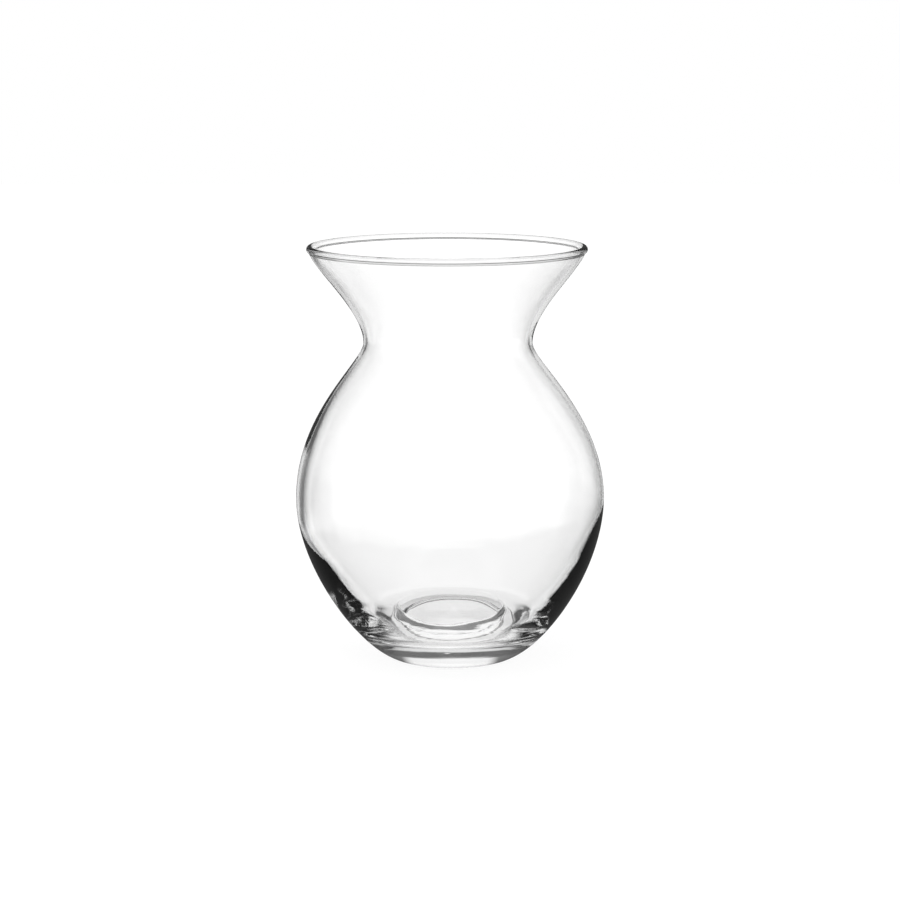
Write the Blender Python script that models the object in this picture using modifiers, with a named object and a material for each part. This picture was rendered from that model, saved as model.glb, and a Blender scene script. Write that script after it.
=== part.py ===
"""Clear glass vase: flared mouth, narrow waist, round belly and a heavy base.

The vase is one piece of clear glass, pressed and blown in a mould. It is
modelled as one turned wall. The outer skin comes from the mould and the inner
skin from the air that blew it, so each is drawn on its own and the wall grows
from the collar down to the thick base. All lengths are in metres, +Z is up,
and the origin is the middle of the circle that the vase stands on.

Run with: blender --background --python part.py
"""

import math

import bpy
from mathutils import Vector

# Overall form
HEIGHT = 0.1840
MOUTH_RADIUS = 0.0618
WAIST_RADIUS = 0.0374
WAIST_HEIGHT = 0.1410
BELLY_RADIUS = 0.0687
BELLY_HEIGHT = 0.0712
FOOT_RADIUS = 0.0282

# Fullness of the curves: how far each one holds its direction at a station
COLLAR_FLARE = math.radians(21.7)
COLLAR_LIP_PULL = 0.0094
COLLAR_WAIST_PULL = 0.0138
SHOULDER_WAIST_PULL = 0.0088
SHOULDER_BELLY_PULL = 0.0373
HEEL_BELLY_PULL = 0.0289
HEEL_FOOT_PULL = 0.0177
HEEL_SPREAD = math.radians(67.0)

# Lip and wall
COLLAR_WALL = 0.0022
LIP_BEAD_PROUD = 0.0005
WAIST_WALL = 0.0018
BELLY_WALL = 0.0020

# Floor: a low dome that steps down to a gutter, then the turn up into the bowl
FLOOR_HEIGHT = 0.0172
DOME_RADIUS = 0.0233
DOME_DROP = 0.0004
DOME_PULL = 0.0078
DOME_EDGE_SLOPE = math.radians(3.0)
STEP_PULL = 0.0018
GUTTER_RADIUS = 0.0267
GUTTER_HEIGHT = 0.0148
GUTTER_SLOPE = math.radians(0.0)
GUTTER_PULL = 0.0038
TURN_RADIUS = 0.0379
TURN_HEIGHT = 0.0166
TURN_LEAN = math.radians(47.7)
TURN_BOWL_PULL = 0.0074
BOWL_BELLY_PULL = 0.0244

# Underside: a flat bearing ring round a domed hollow, the punt
FOOT_EDGE_RADIUS = 0.0011
BEARING_WIDTH = 0.0044
PUNT_DEPTH = 0.0022
PUNT_EDGE_PULL = 0.0060
PUNT_EDGE_LEAN = math.radians(18.0)
PUNT_CROWN_PULL = 0.0170

# Fineness of the mesh
TURN_STEPS = 72
COLLAR_POINTS = 8
SHOULDER_POINTS = 8
HEEL_POINTS = 10
DOME_POINTS = 3
STEP_POINTS = 4
GUTTER_POINTS = 4
BOWL_POINTS = 9
LIP_POINTS = 8
EDGE_POINTS = 3
PUNT_POINTS = 7
MERGE_DISTANCE = 0.00001

PIECE_NAME = "vase_body"
COLLECTION_NAME = "glass_vase"


def clear_scene():
    """Remove every object, so that the file holds the vase alone."""
    for old in list(bpy.data.objects):
        bpy.data.objects.remove(old, do_unlink=True)


def direction(angle):
    """Unit vector that leans away from the vase's axis by an angle."""
    return Vector((math.sin(angle), math.cos(angle)))


def curve(start, start_pull, end_pull, end, count):
    """Points along one cubic curve, without its first point.

    Each point is a radius and a height. A pull is the arm from an end to its
    control point, so it sets the direction and the fullness there.
    """
    first = Vector(start)
    last = Vector(end)
    arm_a = first + start_pull
    arm_b = last + end_pull
    points = []
    for index in range(1, count + 1):
        t = index / count
        s = 1.0 - t
        points.append(s**3 * first + 3 * s * s * t * arm_a + 3 * s * t * t * arm_b + t**3 * last)
    return points


def arc(centre, radius, start_angle, end_angle, count):
    """Points along an arc, both ends included, angles from the outward radius."""
    points = []
    for index in range(count + 1):
        angle = start_angle + (end_angle - start_angle) * index / count
        points.append(Vector(centre) + radius * Vector((math.cos(angle), math.sin(angle))))
    return points


def lip_bead():
    """Round fire-polished lip, from its inner side over the top to its outer side.

    The bead stands a little proud of the collar's two skins, so it meets each
    of them past the point where a plain round edge would.
    """
    radius = COLLAR_WALL / 2 + LIP_BEAD_PROUD
    centre = (MOUTH_RADIUS - radius, HEIGHT - radius)
    neck = math.acos(COLLAR_WALL / 2 / radius)
    inner_angle = math.pi - COLLAR_FLARE + neck
    outer_angle = -COLLAR_FLARE - neck
    return arc(centre, radius, inner_angle, outer_angle, LIP_POINTS)


def outer_skin(lip_end):
    """Moulded side of the wall, from under the lip down to the foot."""
    waist = (WAIST_RADIUS, WAIST_HEIGHT)
    belly = (BELLY_RADIUS, BELLY_HEIGHT)
    foot = foot_edge()[0]
    up = Vector((0.0, 1.0))
    points = curve(lip_end, -COLLAR_LIP_PULL * direction(COLLAR_FLARE),
                   COLLAR_WAIST_PULL * up, waist, COLLAR_POINTS)
    points += curve(waist, -SHOULDER_WAIST_PULL * up, SHOULDER_BELLY_PULL * up, belly, SHOULDER_POINTS)
    points += curve(belly, -HEEL_BELLY_PULL * up, HEEL_FOOT_PULL * direction(HEEL_SPREAD), foot, HEEL_POINTS)
    return points


def foot_edge():
    """Rounded edge that leads the heel's slope into the flat bearing ring."""
    centre = (FOOT_RADIUS, FOOT_EDGE_RADIUS)
    return arc(centre, FOOT_EDGE_RADIUS, -HEEL_SPREAD, -math.pi / 2, EDGE_POINTS)


def underside():
    """Rounded foot edge, flat bearing ring and domed punt, in to the axis."""
    ring_inner = (FOOT_RADIUS - BEARING_WIDTH, 0.0)
    out = Vector((1.0, 0.0))
    points = foot_edge()[1:]
    points.append(Vector(ring_inner))
    points += curve(ring_inner, PUNT_EDGE_PULL * direction(-PUNT_EDGE_LEAN),
                    PUNT_CROWN_PULL * out, (0.0, PUNT_DEPTH), PUNT_POINTS)
    return points


def inner_skin(lip_start):
    """Blown side of the wall, from the middle of the floor up to the lip."""
    middle = (0.0, FLOOR_HEIGHT)
    dome_edge = (DOME_RADIUS, FLOOR_HEIGHT - DOME_DROP)
    gutter = (GUTTER_RADIUS, GUTTER_HEIGHT)
    turn = (TURN_RADIUS, TURN_HEIGHT)
    down_the_step = direction(math.pi / 2 + DOME_EDGE_SLOPE)
    along_the_gutter = direction(math.pi / 2 - GUTTER_SLOPE)
    belly = (BELLY_RADIUS - BELLY_WALL, BELLY_HEIGHT)
    waist = (WAIST_RADIUS - WAIST_WALL, WAIST_HEIGHT)
    up = Vector((0.0, 1.0))
    out = Vector((1.0, 0.0))
    points = [Vector(middle)]
    points += curve(middle, DOME_PULL * out, -DOME_PULL * down_the_step, dome_edge, DOME_POINTS)
    points += curve(dome_edge, STEP_PULL * down_the_step, -STEP_PULL * along_the_gutter, gutter, STEP_POINTS)
    points += curve(gutter, GUTTER_PULL * along_the_gutter, -GUTTER_PULL * direction(TURN_LEAN),
                    turn, GUTTER_POINTS)
    points += curve(turn, TURN_BOWL_PULL * direction(TURN_LEAN), -BOWL_BELLY_PULL * up, belly, BOWL_POINTS)
    points += curve(belly, SHOULDER_BELLY_PULL * up, -SHOULDER_WAIST_PULL * up, waist, SHOULDER_POINTS)
    points += curve(waist, COLLAR_WAIST_PULL * up, -COLLAR_LIP_PULL * direction(COLLAR_FLARE),
                    lip_start, COLLAR_POINTS)
    return points


def wall_profile():
    """Closed-up section of the vase: up the inside, over the lip, down the outside."""
    lip = lip_bead()
    return inner_skin(lip[0]) + lip[1:] + outer_skin(lip[-1]) + underside()


def clear_glass():
    """Colourless soda-lime glass with a fire-polished surface."""
    glass = bpy.data.materials.new("soda_lime_glass")
    glass.use_nodes = True
    shader = glass.node_tree.nodes["Principled BSDF"]
    shader.inputs["Base Color"].default_value = (0.97, 0.98, 0.98, 1.0)
    shader.inputs["Metallic"].default_value = 0.0
    shader.inputs["Roughness"].default_value = 0.02
    shader.inputs["IOR"].default_value = 1.52
    shader.inputs["Transmission Weight"].default_value = 1.0
    return glass


def turned(name, points, collection):
    """Turn a profile round the vertical axis with a Screw modifier."""
    mesh = bpy.data.meshes.new(name)
    edges = [(index, index + 1) for index in range(len(points) - 1)]
    mesh.from_pydata([(point.x, 0.0, point.y) for point in points], edges, [])
    turned_object = bpy.data.objects.new(name, mesh)
    collection.objects.link(turned_object)
    screw = turned_object.modifiers.new("turn", "SCREW")
    screw.axis = "Z"
    screw.angle = math.tau
    screw.steps = TURN_STEPS
    screw.render_steps = TURN_STEPS
    screw.use_merge_vertices = True
    screw.merge_threshold = MERGE_DISTANCE
    screw.use_smooth_shade = True
    return turned_object


def main():
    """Build the vase in its own collection."""
    clear_scene()
    collection = bpy.data.collections.new(COLLECTION_NAME)
    bpy.context.scene.collection.children.link(collection)
    vase = turned(PIECE_NAME, wall_profile(), collection)
    vase.data.materials.append(clear_glass())


main()
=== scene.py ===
"""Clear glass vase on a white table, lit as glass is usually photographed.

The vase is one turned wall of colourless soda-lime glass: a flared collar with a
fire-polished lip, a narrow waist, a round belly, a thick heel and a shallow hollow
under the base. The wall is drawn finer here than in the solid model, with the
slight unevenness and the cords that blown glass has. All lengths are in metres,
+Z is up, and the origin is the middle of the circle that the vase stands on.
"""

import logging
import math
from dataclasses import dataclass, field
from enum import Enum
from typing import Iterable

import bpy
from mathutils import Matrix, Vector, noise

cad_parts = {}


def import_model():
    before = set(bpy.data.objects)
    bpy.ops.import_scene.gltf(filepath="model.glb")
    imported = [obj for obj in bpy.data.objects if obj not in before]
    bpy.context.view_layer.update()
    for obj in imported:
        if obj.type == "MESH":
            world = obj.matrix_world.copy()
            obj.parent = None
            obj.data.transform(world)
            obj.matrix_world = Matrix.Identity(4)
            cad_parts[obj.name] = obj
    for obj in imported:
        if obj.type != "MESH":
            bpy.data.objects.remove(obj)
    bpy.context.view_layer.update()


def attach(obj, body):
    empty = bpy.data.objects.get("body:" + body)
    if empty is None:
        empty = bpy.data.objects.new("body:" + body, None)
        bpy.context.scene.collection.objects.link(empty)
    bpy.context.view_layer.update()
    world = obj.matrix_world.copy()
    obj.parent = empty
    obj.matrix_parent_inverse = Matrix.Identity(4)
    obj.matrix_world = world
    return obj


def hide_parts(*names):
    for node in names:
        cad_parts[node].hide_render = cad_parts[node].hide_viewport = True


LOG = logging.getLogger("vase_scene")

MM = 0.001
BODY = "root"
NODE = "vase_body"
WHITE = "#ffffff"

# Side of the square picture in pixels
IMAGE_SIDE = 900

# A point of the section nearer to the axis than this is a pole, not a ring
POLE_RADIUS = 0.01 * MM

# Bounds in degrees that no direction reaches, so such a window is open on that side
BEYOND_AZIMUTH = 300.0
BEYOND_ELEVATION = 120.0


class Skin(Enum):
    """Faces of the wall, by the way that each was formed."""

    BLOWN = "blown"
    MOULDED = "moulded"
    BEARING = "bearing"


def srgb(code: str) -> tuple[float, float, float, float]:
    """Turn a hex colour to a linear one.

    Args:
        code: The sRGB colour, such as "#f4f6f5".

    Returns:
        Red, green, blue and an alpha of 1.
    """
    channels = [int(code[index:index + 2], 16) / 255 for index in (1, 3, 5)]
    linear = [c / 12.92 if c <= 0.04045 else ((c + 0.055) / 1.055) ** 2.4 for c in channels]
    return (linear[0], linear[1], linear[2], 1.0)


def add_node(tree: bpy.types.NodeTree, kind: str, inputs: dict[str | int, object] | None = None,
             **settings: object) -> bpy.types.Node:
    """Add a node, set its fields and fill its inputs.

    Args:
        tree: The node tree that gets the node.
        kind: The node's type name without "ShaderNode".
        inputs: For each input, by name or number, a value or the socket that feeds it.
        settings: The node's own fields, such as operation="MULTIPLY".

    Returns:
        The new node.
    """
    node = tree.nodes.new("ShaderNode" + kind)
    for name, value in settings.items():
        setattr(node, name, value)
    for key, value in (inputs or {}).items():
        if isinstance(value, bpy.types.NodeSocket):
            tree.links.new(value, node.inputs[key])
        else:
            node.inputs[key].default_value = value
    return node


def lean(angle: float) -> Vector:
    """Unit vector that leans away from the vase's axis by an angle."""
    return Vector((math.sin(angle), math.cos(angle)))


def curve(start: Vector, start_arm: Vector, end_arm: Vector, end: Vector, count: int) -> list[Vector]:
    """Points along one cubic curve, without its first point.

    Args:
        start: Radius and height of the first end.
        start_arm: From the first end to its control point.
        end_arm: From the last end to its control point.
        end: Radius and height of the last end.
        count: How many points to make.

    Returns:
        The points, each a radius and a height.
    """
    points = []
    for index in range(1, count + 1):
        t = index / count
        s = 1.0 - t
        points.append(s**3 * start + 3 * s * s * t * (start + start_arm)
                      + 3 * s * t * t * (end + end_arm) + t**3 * end)
    return points


def arc(centre: Vector, radius: float, start: float, end: float, count: int) -> list[Vector]:
    """Points along an arc, both ends included.

    Args:
        centre: Radius and height of the arc's middle.
        radius: The arc's own radius.
        start: Angle of the first end, from the outward radius.
        end: Angle of the last end.
        count: How many stretches the arc has.

    Returns:
        The points, each a radius and a height.
    """
    points = []
    for index in range(count + 1):
        angle = start + (end - start) * index / count
        points.append(centre + radius * Vector((math.cos(angle), math.sin(angle))))
    return points


@dataclass(frozen=True)
class VaseForm:
    """Sizes of the vase.

    The outside, the lip and the waist are the solid model's. The floor, the inside
    of the belly and the underside lie within about 1 mm of it, set so that the light
    that they bend draws clear arcs and bands in the base.
    """

    # Overall form
    height: float = 184.0 * MM
    mouth_radius: float = 61.8 * MM
    waist_radius: float = 37.4 * MM
    waist_height: float = 141.0 * MM
    belly_radius: float = 68.7 * MM
    belly_height: float = 71.2 * MM
    foot_radius: float = 28.2 * MM

    # Fullness of the curves: how far each one holds its direction at a station
    collar_flare: float = math.radians(21.7)
    collar_lip_pull: float = 9.4 * MM
    collar_waist_pull: float = 13.8 * MM
    shoulder_waist_pull: float = 8.8 * MM
    shoulder_belly_pull: float = 37.3 * MM
    heel_belly_pull: float = 28.9 * MM
    heel_foot_pull: float = 17.7 * MM
    heel_spread: float = math.radians(67.0)

    # Lip and wall
    collar_wall: float = 2.2 * MM
    lip_bead_proud: float = 0.5 * MM
    waist_wall: float = 1.8 * MM
    belly_wall: float = 2.15 * MM

    # Floor: a disc with a raised edge that steps down to a gutter, then the turn into the bowl
    floor_height: float = 17.13 * MM
    disc_radius: float = 23.59 * MM
    disc_pull: float = 7.86 * MM
    disc_edge_rise: float = math.radians(2.8)
    step_pull: float = 1.76 * MM
    gutter_radius: float = 27.33 * MM
    gutter_height: float = 14.72 * MM
    gutter_fall: float = math.radians(2.4)
    gutter_pull: float = 2.73 * MM
    turn_radius: float = 38.08 * MM
    turn_height: float = 16.27 * MM
    turn_lean: float = math.radians(49.4)
    turn_bowl_pull: float = 6.44 * MM
    bowl_belly_pull: float = 25.26 * MM

    # Underside: a flat bearing ring round a domed hollow, the punt
    foot_edge_radius: float = 1.14 * MM
    bearing_width: float = 4.36 * MM
    punt_depth: float = 1.66 * MM
    punt_edge_pull: float = 3.8 * MM
    punt_edge_lean: float = math.radians(9.1)
    punt_crown_pull: float = 18.49 * MM


@dataclass
class Section:
    """The wall's half section: up the inside, over the lip, down the outside.

    Attributes:
        form: The vase's sizes.
        lip_points: How many stretches the round lip has. Each count after it says
            the same of the part that it is named for.
    """

    form: VaseForm
    lip_points: int = 36
    collar_points: int = 48
    shoulder_points: int = 72
    heel_points: int = 72
    disc_points: int = 36
    step_points: int = 24
    gutter_points: int = 36
    bowl_points: int = 72
    foot_edge_points: int = 18
    bearing_points: int = 12
    punt_points: int = 48

    def lip(self) -> list[Vector]:
        """Round lip that stands a little proud of the collar's two skins.

        Returns:
            Its points, from its inner side over the top to its outer side.
        """
        form = self.form
        radius = form.collar_wall / 2 + form.lip_bead_proud
        centre = Vector((form.mouth_radius - radius, form.height - radius))
        neck = math.acos(form.collar_wall / 2 / radius)
        return arc(centre, radius, math.pi - form.collar_flare + neck, -form.collar_flare - neck,
                   self.lip_points)

    def foot_edge(self) -> list[Vector]:
        """Rounded edge between the heel and the bearing ring.

        Returns:
            Its points, from the heel in to the ring.
        """
        form = self.form
        centre = Vector((form.foot_radius, form.foot_edge_radius))
        return arc(centre, form.foot_edge_radius, -form.heel_spread, -math.pi / 2, self.foot_edge_points)

    def outer(self, lip_end: Vector) -> list[Vector]:
        """Moulded skin, from under the lip down to the foot.

        Args:
            lip_end: Last point of the lip.

        Returns:
            The points after it, down to the first one of the foot's edge.
        """
        form = self.form
        waist = Vector((form.waist_radius, form.waist_height))
        belly = Vector((form.belly_radius, form.belly_height))
        foot = self.foot_edge()[0]
        up = Vector((0.0, 1.0))
        points = curve(lip_end, -form.collar_lip_pull * lean(form.collar_flare),
                       form.collar_waist_pull * up, waist, self.collar_points)
        points += curve(waist, -form.shoulder_waist_pull * up, form.shoulder_belly_pull * up, belly,
                        self.shoulder_points)
        points += curve(belly, -form.heel_belly_pull * up, form.heel_foot_pull * lean(form.heel_spread),
                        foot, self.heel_points)
        return points

    def inner(self, lip_start: Vector) -> list[Vector]:
        """Blown skin, from the middle of the floor up to the lip.

        Args:
            lip_start: First point of the lip.

        Returns:
            The points, up to that one.
        """
        form = self.form
        middle = Vector((0.0, form.floor_height))
        disc_edge = Vector((form.disc_radius, form.floor_height))
        gutter = Vector((form.gutter_radius, form.gutter_height))
        turn = Vector((form.turn_radius, form.turn_height))
        belly = Vector((form.belly_radius - form.belly_wall, form.belly_height))
        waist = Vector((form.waist_radius - form.waist_wall, form.waist_height))
        up = Vector((0.0, 1.0))
        out = Vector((1.0, 0.0))
        off_the_disc = lean(math.pi / 2 - form.disc_edge_rise)
        along_the_gutter = lean(math.pi / 2 + form.gutter_fall)
        points = [middle]
        points += curve(middle, form.disc_pull * out, -form.disc_pull * off_the_disc, disc_edge,
                        self.disc_points)
        points += curve(disc_edge, form.step_pull * off_the_disc, -form.step_pull * along_the_gutter,
                        gutter, self.step_points)
        points += curve(gutter, form.gutter_pull * along_the_gutter,
                        -form.gutter_pull * lean(form.turn_lean), turn, self.gutter_points)
        points += curve(turn, form.turn_bowl_pull * lean(form.turn_lean),
                        -form.bowl_belly_pull * up, belly, self.bowl_points)
        points += curve(belly, form.shoulder_belly_pull * up, -form.shoulder_waist_pull * up, waist,
                        self.shoulder_points)
        points += curve(waist, form.collar_waist_pull * up,
                        -form.collar_lip_pull * lean(form.collar_flare), lip_start, self.collar_points)
        return points

    def underside(self) -> list[Vector]:
        """Foot's edge, bearing ring and punt.

        Returns:
            The points, from the foot's edge in to the axis.
        """
        form = self.form
        ring_inner = Vector((form.foot_radius - form.bearing_width, 0.0))
        crown = Vector((0.0, form.punt_depth))
        edge = self.foot_edge()
        points = edge[1:]
        for index in range(1, self.bearing_points + 1):
            points.append(edge[-1].lerp(ring_inner, index / self.bearing_points))
        points += curve(ring_inner, form.punt_edge_pull * lean(-form.punt_edge_lean),
                        Vector((form.punt_crown_pull, 0.0)), crown, self.punt_points)
        return points

    def points(self) -> list[tuple[Vector, Skin]]:
        """The whole section.

        Returns:
            Every point with the skin that it belongs to.
        """
        lip = self.lip()
        inner = self.inner(lip[0])
        outer = lip[1:] + self.outer(lip[-1])
        under = self.underside()
        return ([(point, Skin.BLOWN) for point in inner]
                + [(point, Skin.MOULDED) for point in outer]
                + [(point, Skin.BEARING) for point in under])


@dataclass(frozen=True)
class Swell:
    """Low hollows that a skin keeps from the way it was formed.

    Attributes:
        depth: How deep the deepest hollow goes into the glass.
        length: Typical distance between hollows round the vase.
        rise: Typical distance between hollows up the vase.
        low: Height where the hollows begin.
        high: Height where they end.
        seed: Moves the pattern, so that two skins differ.
        lift: How many times the seed counts in height.
        fade: Share of the height between low and high over which the hollows grow
            from nothing, at either end.
    """

    depth: float
    length: float
    rise: float
    low: float
    high: float
    seed: float
    lift: float = 2.0
    fade: float = 0.25

    def at(self, place: Vector) -> float:
        """Depth of the hollows at a place.

        Args:
            place: A point of the true skin.

        Returns:
            How far the skin lies below its true place, as a negative length.
        """
        strength = min(place.z - self.low, self.high - place.z) / (self.fade * (self.high - self.low))
        if strength <= 0.0:
            return 0.0
        point = Vector((place.x / self.length + self.seed, place.y / self.length - self.seed,
                        place.z / self.rise + self.lift * self.seed))
        # The noise runs from -1 to 1, so the skin lies between the full depth and its true place
        return self.depth * min(strength, 1.0) * (noise.noise(point) - 1.0) / 2.0


@dataclass(frozen=True)
class Thickening:
    """Patch where the glass gathered and the wall is thicker, on its inner side.

    Attributes:
        angle: Where it lies round the vase, from +X.
        height: Height of its middle.
        spread: Distance from its middle at which it has faded to about a third.
        depth: How much thicker the wall is at its middle.
    """

    angle: float
    height: float
    spread: float
    depth: float

    def at(self, angle: float, height: float, radius: float) -> float:
        """Extra thickness at a place.

        Args:
            angle: Angle of the place round the vase.
            height: Its height.
            radius: Its distance from the axis.

        Returns:
            How far the inner skin stands in there.
        """
        turn = (angle - self.angle + math.pi) % math.tau - math.pi
        distance = math.hypot(turn * radius, height - self.height)
        return self.depth * math.exp(-(distance / self.spread) ** 2)


@dataclass(frozen=True)
class Drift:
    """Sideways stray of a skin's middle.

    Attributes:
        stations: Pairs of a place and the stray towards +X there, the least place first.
    """

    stations: tuple[tuple[float, float], ...]

    def at(self, place: float) -> float:
        """Stray at a place, eased from station to station.

        Args:
            place: A height, or a distance from the axis.

        Returns:
            The stray towards +X.
        """
        for (low, start), (high, end) in zip(self.stations, self.stations[1:]):
            if place <= high:
                t = max(0.0, (place - low) / (high - low))
                return start + (end - start) * t * t * (3.0 - 2.0 * t)
        return self.stations[-1][1]


@dataclass(frozen=True)
class Strays:
    """How far the vase leans from true, and the air that blew it from the middle of the glass.

    Attributes:
        whole: Stray of both skins, by height.
        blown: Further stray of the blown skin by height, which leaves one side thicker.
        disc: Further stray of the floor, by distance from the axis.
        floor_top: Height under which the blown skin is floor.
    """

    whole: Drift = Drift((
        (0.0, 0.9 * MM), (69.8 * MM, 0.0), (142.0 * MM, -0.9 * MM), (184.0 * MM, -1.3 * MM)))
    blown: Drift = Drift((
        (18.0 * MM, 0.4 * MM), (50.0 * MM, 0.4 * MM), (70.0 * MM, 1.1 * MM), (90.0 * MM, 1.1 * MM),
        (135.0 * MM, 0.0)))
    disc: Drift = Drift(((26.0 * MM, -1.6 * MM), (32.0 * MM, 0.0)))
    floor_top: float = 18.0 * MM

    def at(self, point: Vector, skin: Skin) -> Vector:
        """Stray of one point of the section.

        Args:
            point: Its radius and height.
            skin: The skin that it belongs to.

        Returns:
            How far to move it.
        """
        stray = self.whole.at(point.y)
        if skin is Skin.BLOWN:
            stray += self.blown.at(point.y)
            if point.y < self.floor_top:
                stray += self.disc.at(point.x)
        return Vector((stray, 0.0, 0.0))


@dataclass
class VaseBody:
    """The whole vase, one closed turned wall.

    Attributes:
        section: The wall's half section.
        strays: How far its skins stray from the axis.
        steps: Facets round the axis.
        swells: The waviness of each skin, first that of the whole skin and then
            the closer one of the heel, which cooled last.
        thickenings: Thicker patches of the blown skin.
    """

    section: Section
    strays: Strays = Strays()
    steps: int = 320
    swells: dict[Skin, list[Swell]] = field(default_factory=lambda: {
        Skin.BLOWN: [
            Swell(depth=0.16 * MM, length=30 * MM, rise=34 * MM, low=-60 * MM, high=250 * MM, seed=3.1),
            Swell(depth=0.12 * MM, length=16 * MM, rise=6 * MM, low=2 * MM, high=44 * MM, seed=5.3),
        ],
        Skin.MOULDED: [
            Swell(depth=0.06 * MM, length=24 * MM, rise=24 * MM, low=-60 * MM, high=250 * MM, seed=7.7),
            Swell(depth=0.10 * MM, length=18 * MM, rise=4 * MM, low=2 * MM, high=36 * MM, seed=9.4),
        ],
        Skin.BEARING: [],
    })
    thickenings: tuple[Thickening, ...] = (
        Thickening(angle=math.radians(178.0), height=167.5 * MM, spread=5.0 * MM, depth=0.45 * MM),
    )

    def mesh(self) -> bpy.types.Object:
        """Turn the section round the axis and close it at both poles.

        Returns:
            The vase, still without its glass.
        """
        points = self.section.points()
        normals = self._normals([point for point, _ in points])
        verts: list[Vector] = []
        rows: list[list[int]] = []
        for (point, skin), normal in zip(points, normals):
            ring = self._ring(point, normal, skin)
            rows.append(list(range(len(verts), len(verts) + len(ring))))
            verts += ring
        faces: list[tuple[int, ...]] = []
        for lower, upper in zip(rows, rows[1:]):
            faces += self._band(lower, upper)
        mesh = bpy.data.meshes.new("vase_glass")
        mesh.from_pydata(verts, [], faces)
        mesh.shade_smooth()
        vase = bpy.data.objects.new("vase_glass", mesh)
        bpy.context.scene.collection.objects.link(vase)
        return vase

    def dress(self, vase: bpy.types.Object) -> None:
        """Give the vase its glass and tie it to the solid model.

        Args:
            vase: The object that mesh() made.
        """
        vase.data.materials.append(SodaLimeGlass().material())
        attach(vase, BODY)
        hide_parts(NODE)

    def _ring(self, point: Vector, normal: Vector, skin: Skin) -> list[Vector]:
        """Places of one point of the section all the way round the axis.

        Args:
            point: Its radius and height.
            normal: Direction out of the glass there, in the section.
            skin: The skin that it belongs to.

        Returns:
            One place for each facet, or a single one at a pole.
        """
        stray = self.strays.at(point, skin)
        if point.x < POLE_RADIUS:
            return [Vector((0.0, 0.0, point.y)) + stray]
        ring = []
        for index in range(self.steps):
            angle = math.tau * index / self.steps
            around = Vector((math.cos(angle), math.sin(angle), 0.0))
            place = around * point.x + Vector((0.0, 0.0, point.y))
            shift = sum(swell.at(place) for swell in self.swells[skin])
            if skin is Skin.BLOWN:
                shift += sum(patch.at(angle, point.y, point.x) for patch in self.thickenings)
            ring.append(place + stray + shift * (around * normal.x + Vector((0.0, 0.0, normal.y))))
        return ring

    def _band(self, lower: list[int], upper: list[int]) -> Iterable[tuple[int, ...]]:
        """Faces between two rings of vertices, or between a ring and a pole.

        Args:
            lower: Vertex numbers of one ring or pole.
            upper: Vertex numbers of the next one along the section.

        Yields:
            The vertex numbers of each face.
        """
        for index in range(self.steps):
            after = (index + 1) % self.steps
            if len(lower) == 1:
                yield (lower[0], upper[index], upper[after])
            elif len(upper) == 1:
                yield (lower[index], upper[0], lower[after])
            else:
                yield (lower[index], upper[index], upper[after], lower[after])

    @staticmethod
    def _normals(points: list[Vector]) -> list[Vector]:
        """Direction out of the glass at each point of the section.

        Args:
            points: The section's points in order.

        Returns:
            A unit vector for each point.
        """
        normals = []
        for index, _ in enumerate(points):
            before = points[max(index - 1, 0)]
            after = points[min(index + 1, len(points) - 1)]
            along = (after - before).normalized()
            normals.append(Vector((-along.y, along.x)))
        return normals


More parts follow.
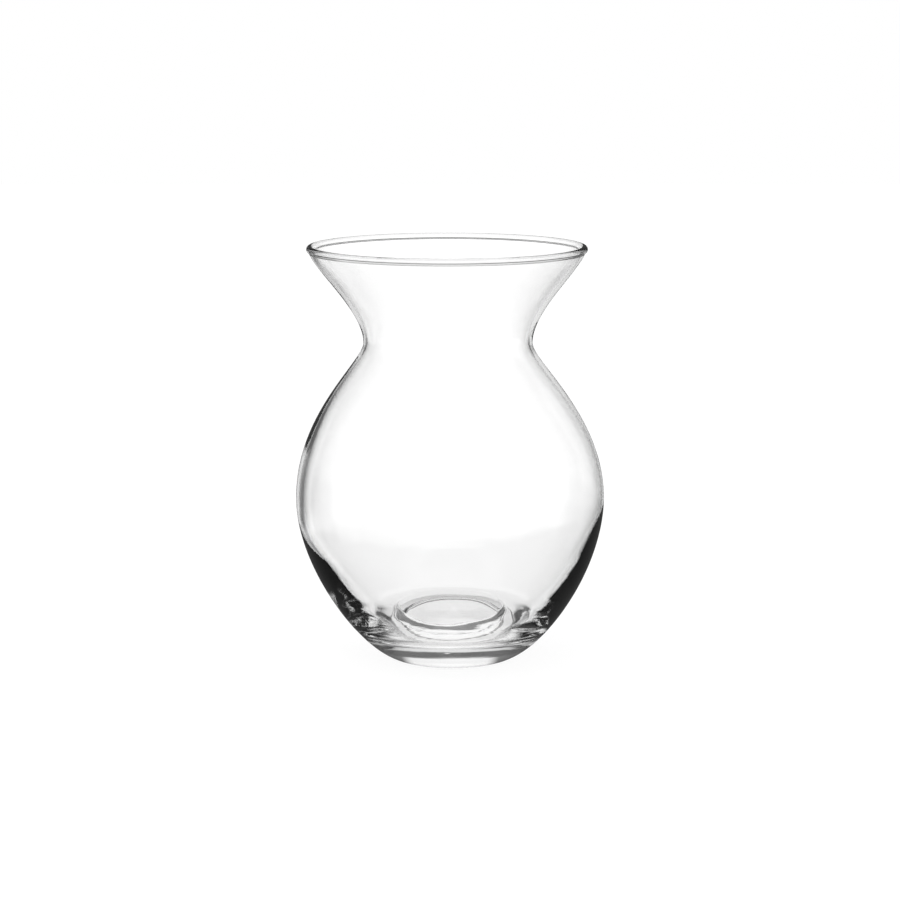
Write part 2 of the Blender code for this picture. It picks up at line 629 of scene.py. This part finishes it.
@dataclass(frozen=True)
class SodaLimeGlass:
    """Colourless soda-lime glass, fire-polished: water clear with a hard gloss.

    Attributes:
        tint: Colour of the glass, which holds too little iron to look green.
        refraction: Index of soda-lime glass, which bends the light in the heel.
        ripple_length: Size of the soft ripple that the fire leaves on the skin.
        ripple_depth: Its depth, which makes the wall's edges waver a little.
        ripple_detail: How many finer layers it has.
        cord_length: Length of the cords, threads of denser glass round the heel.
        cord_rise: Distance between cords up the heel, which draws fine level streaks.
        cord_depth: How strongly they bend the light, as a depth of the skin.
        cord_detail: How many finer layers they have.
        cord_top: Height where the cords begin to show.
        cord_core: Height under which they show fully.
        worn_height: Height under which the bearing ring is rubbed by use.
        worn_roughness: Roughness at the table, which gives the ring a faint grey matt.
    """

    tint: str = WHITE
    refraction: float = 1.52
    ripple_length: float = 5.0 * MM
    ripple_depth: float = 0.004 * MM
    ripple_detail: float = 1.0
    cord_length: float = 26.0 * MM
    cord_rise: float = 1.1 * MM
    cord_depth: float = 0.012 * MM
    cord_detail: float = 3.0
    cord_top: float = 34.0 * MM
    cord_core: float = 17.0 * MM
    worn_height: float = 0.12 * MM
    worn_roughness: float = 0.32

    def material(self) -> bpy.types.Material:
        """Build the material.

        Returns:
            Clear glass with its ripple, cords and worn ring.
        """
        glass = bpy.data.materials.new("soda_lime_glass_fire_polished")
        glass.use_nodes = True
        tree = glass.node_tree
        shader = tree.nodes["Principled BSDF"]
        shader.inputs["Base Color"].default_value = srgb(self.tint)
        shader.inputs["IOR"].default_value = self.refraction
        shader.inputs["Transmission Weight"].default_value = 1.0
        place = add_node(tree, "TexCoord").outputs["Object"]
        height = add_node(tree, "SeparateXYZ", {0: place}).outputs["Z"]
        worn = add_node(tree, "MapRange", {
            "Value": height, "From Min": self.worn_height, "From Max": 0.0,
            "To Min": 0.0, "To Max": self.worn_roughness}).outputs[0]
        tree.links.new(worn, shader.inputs["Roughness"])
        ripple = add_node(tree, "TexNoise", {
            "Vector": place, "Scale": 1.0 / self.ripple_length,
            "Detail": self.ripple_detail}).outputs[0]
        stretched = add_node(tree, "VectorMath", {
            0: place, 1: (1.0, 1.0, self.cord_length / self.cord_rise)}, operation="MULTIPLY").outputs[0]
        cords = add_node(tree, "TexNoise", {
            "Vector": stretched, "Scale": 1.0 / self.cord_length,
            "Detail": self.cord_detail}).outputs[0]
        heel = add_node(tree, "MapRange", {
            "Value": height, "From Min": self.cord_top, "From Max": self.cord_core},
            interpolation_type="SMOOTHSTEP").outputs[0]
        heel_cords = add_node(tree, "Math", {0: cords, 1: heel}, operation="MULTIPLY").outputs[0]
        rippled = add_node(tree, "Bump", {
            "Height": ripple, "Strength": 1.0, "Distance": self.ripple_depth}).outputs[0]
        corded = add_node(tree, "Bump", {
            "Height": heel_cords, "Strength": 1.0, "Distance": self.cord_depth,
            "Normal": rippled}).outputs[0]
        tree.links.new(corded, shader.inputs["Normal"])
        return glass


@dataclass(frozen=True)
class TableLaminate:
    """Matt white laminate: white to the eye, and dark enough to keep a shadow.

    Attributes:
        colour: Colour for the light that falls on it. It is dark, so that light adds
            little and the vase's shadow stays faint.
        white: Strength of its own white, which the camera alone sees.
        roughness: Roughness of a matt laminate.
    """

    colour: str = "#5f5f5f"
    white: float = 0.93
    roughness: float = 0.9

    def material(self) -> bpy.types.Material:
        """Build the material.

        Returns:
            White laminate without a gloss.
        """
        laminate = bpy.data.materials.new("white_table_laminate")
        laminate.use_nodes = True
        tree = laminate.node_tree
        shader = tree.nodes["Principled BSDF"]
        shader.inputs["Base Color"].default_value = srgb(self.colour)
        shader.inputs["Roughness"].default_value = self.roughness
        shader.inputs["Specular IOR Level"].default_value = 0.0
        shader.inputs["Emission Color"].default_value = srgb(WHITE)
        path = add_node(tree, "LightPath")
        glow = add_node(tree, "Math", {0: path.outputs["Is Camera Ray"], 1: self.white},
                        operation="MULTIPLY").outputs[0]
        tree.links.new(glow, shader.inputs["Emission Strength"])
        return laminate


@dataclass(frozen=True)
class Window:
    """A lit part of the surroundings, seen from the vase.

    Azimuth 0 lies behind the vase for the camera, and grows to the right. All
    bounds and fades are in degrees.

    Attributes:
        level: Its brightness.
        left: Least azimuth.
        right: Greatest azimuth.
        low: Least elevation.
        high: Greatest elevation.
        edge: How far it fades to each side of its left and right bounds.
        sill: How far it fades above and below its other bounds.
    """

    level: float
    left: float = -BEYOND_AZIMUTH
    right: float = BEYOND_AZIMUTH
    low: float = -BEYOND_ELEVATION
    high: float = BEYOND_ELEVATION
    edge: float = 5.0
    sill: float = 4.0

    def brightness(self, tree: bpy.types.NodeTree, azimuth: bpy.types.NodeSocket,
                   elevation: bpy.types.NodeSocket) -> bpy.types.NodeSocket:
        """Add the nodes that draw the window.

        Args:
            tree: The world's node tree.
            azimuth: Azimuth of the direction that is looked in.
            elevation: Its elevation.

        Returns:
            The level inside the bounds, nothing outside, and a fade between.
        """
        total: float | bpy.types.NodeSocket = self.level
        for source, bound, fade in ((azimuth, self.left, self.edge), (azimuth, self.right, -self.edge),
                                    (elevation, self.low, self.sill), (elevation, self.high, -self.sill)):
            part = add_node(tree, "MapRange", {
                "Value": source,
                "From Min": math.radians(bound - fade),
                "From Max": math.radians(bound + fade),
            }, interpolation_type="SMOOTHSTEP")
            total = add_node(tree, "Math", {0: total, 1: part.outputs[0]},
                             operation="MULTIPLY").outputs[0]
        return total


@dataclass(frozen=True)
class Surroundings:
    """What the glass shows: a white sheet, lights and a table between black cards.

    Attributes:
        windows: The lit parts. Where two overlap, the brighter one shows.
        dark: Brightness of the black cards.
        backdrop: Brightness behind the vase for the camera, and over matt surfaces.
        reflected: Brightness of what the outside of the glass mirrors.
    """

    windows: tuple[Window, ...] = (
        # White sheet under and behind the vase, wider where it lies on the table
        Window(1.07, left=-20.0, right=23.0, high=8.5, sill=1.5),
        Window(1.07, left=-26.0, right=30.0, high=-14.0),
        # Its best lit part
        Window(1.24, left=-20.0, right=23.0, low=-21.5, high=6.0, sill=8.0),
        # Its dim sides
        Window(0.22, left=-50.0, right=54.0, high=8.5, edge=6.0, sill=1.5),
        # Light above the sheet, past a dark gap
        Window(0.85, left=-38.0, right=38.0, low=17.5, edge=12.0, sill=1.5),
        # Table all round
        Window(0.5, high=-14.0, edge=3.0),
        # Dim wall that shows in the gap
        Window(0.14, left=-44.0, right=46.0, edge=6.0, sill=3.0),
        # Ceiling
        Window(0.5, low=50.0, edge=3.0, sill=6.0),
        # Small white sheets that stand behind the vase for one who looks at it from
        # its right front, its right side and its left back
        Window(1.02, left=-59.0, right=-31.0, low=-42.0, high=-12.0, sill=5.0),
        Window(1.02, left=-103.0, right=-77.0, low=-30.0, high=6.0),
        Window(1.02, left=120.0, right=150.0, low=-34.0, high=0.0, sill=5.0),
    )
    dark: float = 0.004
    backdrop: float = 1.0
    reflected: float = 0.08

    def world(self) -> None:
        """White for the camera, and the windows and cards for rays through glass."""
        world = bpy.data.worlds.new("studio")
        bpy.context.scene.world = world
        world.use_nodes = True
        tree = world.node_tree
        tree.nodes.clear()
        direction = add_node(tree, "TexCoord").outputs["Generated"]
        axes = add_node(tree, "SeparateXYZ", {0: direction})
        azimuth = add_node(tree, "Math", {0: axes.outputs["X"], 1: axes.outputs["Y"]},
                           operation="ARCTAN2").outputs[0]
        elevation = add_node(tree, "Math", {0: axes.outputs["Z"]}, operation="ARCSINE").outputs[0]
        seen: float | bpy.types.NodeSocket = self.dark
        for window in self.windows:
            part = window.brightness(tree, azimuth, elevation)
            seen = add_node(tree, "Math", {0: seen, 1: part}, operation="MAXIMUM").outputs[0]
        path = add_node(tree, "LightPath")
        mirrored = add_node(tree, "Mix", {
            0: path.outputs["Is Glossy Ray"], 2: self.backdrop, 3: self.reflected}).outputs[0]
        strength = add_node(tree, "Mix", {
            0: path.outputs["Is Transmission Ray"], 2: mirrored, 3: seen}).outputs[0]
        background = add_node(tree, "Background", {"Color": srgb(WHITE), "Strength": strength})
        add_node(tree, "OutputWorld", {"Surface": background.outputs[0]})


@dataclass(frozen=True)
class TableTop:
    """Level white table under the vase.

    Attributes:
        half_side: Half of its side.
        gap: How far it lies under the vase, so that the two never share a face.
    """

    half_side: float = 3.0
    gap: float = 0.2 * MM

    def mesh(self) -> None:
        """Table top that keeps the vase's soft shadow and isn't seen through the glass."""
        side = self.half_side
        mesh = bpy.data.meshes.new("table_top")
        corners = [(-side, -side, 0), (side, -side, 0), (side, side, 0), (-side, side, 0)]
        mesh.from_pydata(corners, [], [(0, 1, 2, 3)])
        table = bpy.data.objects.new("table_top", mesh)
        bpy.context.scene.collection.objects.link(table)
        table.location.z = -self.gap
        mesh.materials.append(TableLaminate().material())
        table.visible_transmission = False
        table.visible_glossy = False


@dataclass(frozen=True)
class Softbox:
    """Large soft lamp above the table.

    Attributes:
        side: Side of its square face.
        power: Its power in watts.
        place: Middle of its face, which looks at the foot of the vase.
    """

    side: float = 1.2
    power: float = 6.0
    place: tuple[float, float, float] = (-0.3, -0.2, 1.6)

    def lamp(self) -> None:
        """Add the lamp, hidden from rays that glass mirrors or lets through."""
        light = bpy.data.lights.new("softbox", "AREA")
        light.shape = "RECTANGLE"
        light.size = self.side
        light.size_y = self.side
        light.energy = self.power
        lamp = bpy.data.objects.new("softbox", light)
        lamp.location = self.place
        lamp.rotation_euler = (-lamp.location).to_track_quat("-Z", "Y").to_euler()
        lamp.visible_glossy = False
        lamp.visible_transmission = False
        bpy.context.scene.collection.objects.link(lamp)


@dataclass(frozen=True)
class Camera:
    """Camera at the photograph's viewing angle.

    Attributes:
        lens: Focal length in millimetres.
        sensor: Width of the sensor in millimetres.
        shift: How far the frame of the picture is moved up, in pixels.
        pitch: How far the camera looks down.
        distance: From the camera to the point that it looks at.
        target_height: Height of that point on the vase's axis.
        all_bounces: How often light may be turned in all.
        mirrored_bounces: How many of these may be reflections.
        bent_bounces: How many of these may be passes through a skin of the glass.
    """

    lens: float = 100.0
    sensor: float = 36.0
    shift: float = 1.25
    pitch: float = math.radians(10.1)
    distance: float = 1.11375
    target_height: float = 0.092
    all_bounces: int = 28
    mirrored_bounces: int = 20
    bent_bounces: int = 24

    def place(self) -> None:
        """Put the camera in the scene and set how its pictures show white."""
        data = bpy.data.cameras.new("camera")
        data.lens = self.lens
        data.sensor_width = self.sensor
        data.shift_y = self.shift / IMAGE_SIDE
        camera = bpy.data.objects.new("camera", data)
        target = Vector((0.0, 0.0, self.target_height))
        away = Vector((0.0, -math.cos(self.pitch), math.sin(self.pitch)))
        camera.location = target + self.distance * away
        camera.rotation_euler = (math.pi / 2 - self.pitch, 0.0, 0.0)
        bpy.context.scene.collection.objects.link(camera)
        bpy.context.scene.camera = camera
        bpy.context.scene.view_settings.view_transform = "Standard"

    def light_paths(self) -> None:
        """Let light turn often enough to draw the arcs inside the thick base."""
        cycles = bpy.context.scene.cycles
        cycles.max_bounces = self.all_bounces
        cycles.glossy_bounces = self.mirrored_bounces
        cycles.transmission_bounces = self.bent_bounces


def main() -> None:
    """Build the studio and the vase."""
    logging.basicConfig(level=logging.INFO)
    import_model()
    camera = Camera()
    camera.place()
    camera.light_paths()
    LOG.info("camera placed")
    Surroundings().world()
    LOG.info("surroundings built")
    TableTop().mesh()
    LOG.info("table_top built")
    Softbox().lamp()
    LOG.info("softbox placed")
    body = VaseBody(Section(VaseForm()))
    vase = body.mesh()
    body.dress(vase)
    LOG.info("vase_glass built with %d faces", len(vase.data.polygons))


if __name__ == "__main__":
    main()
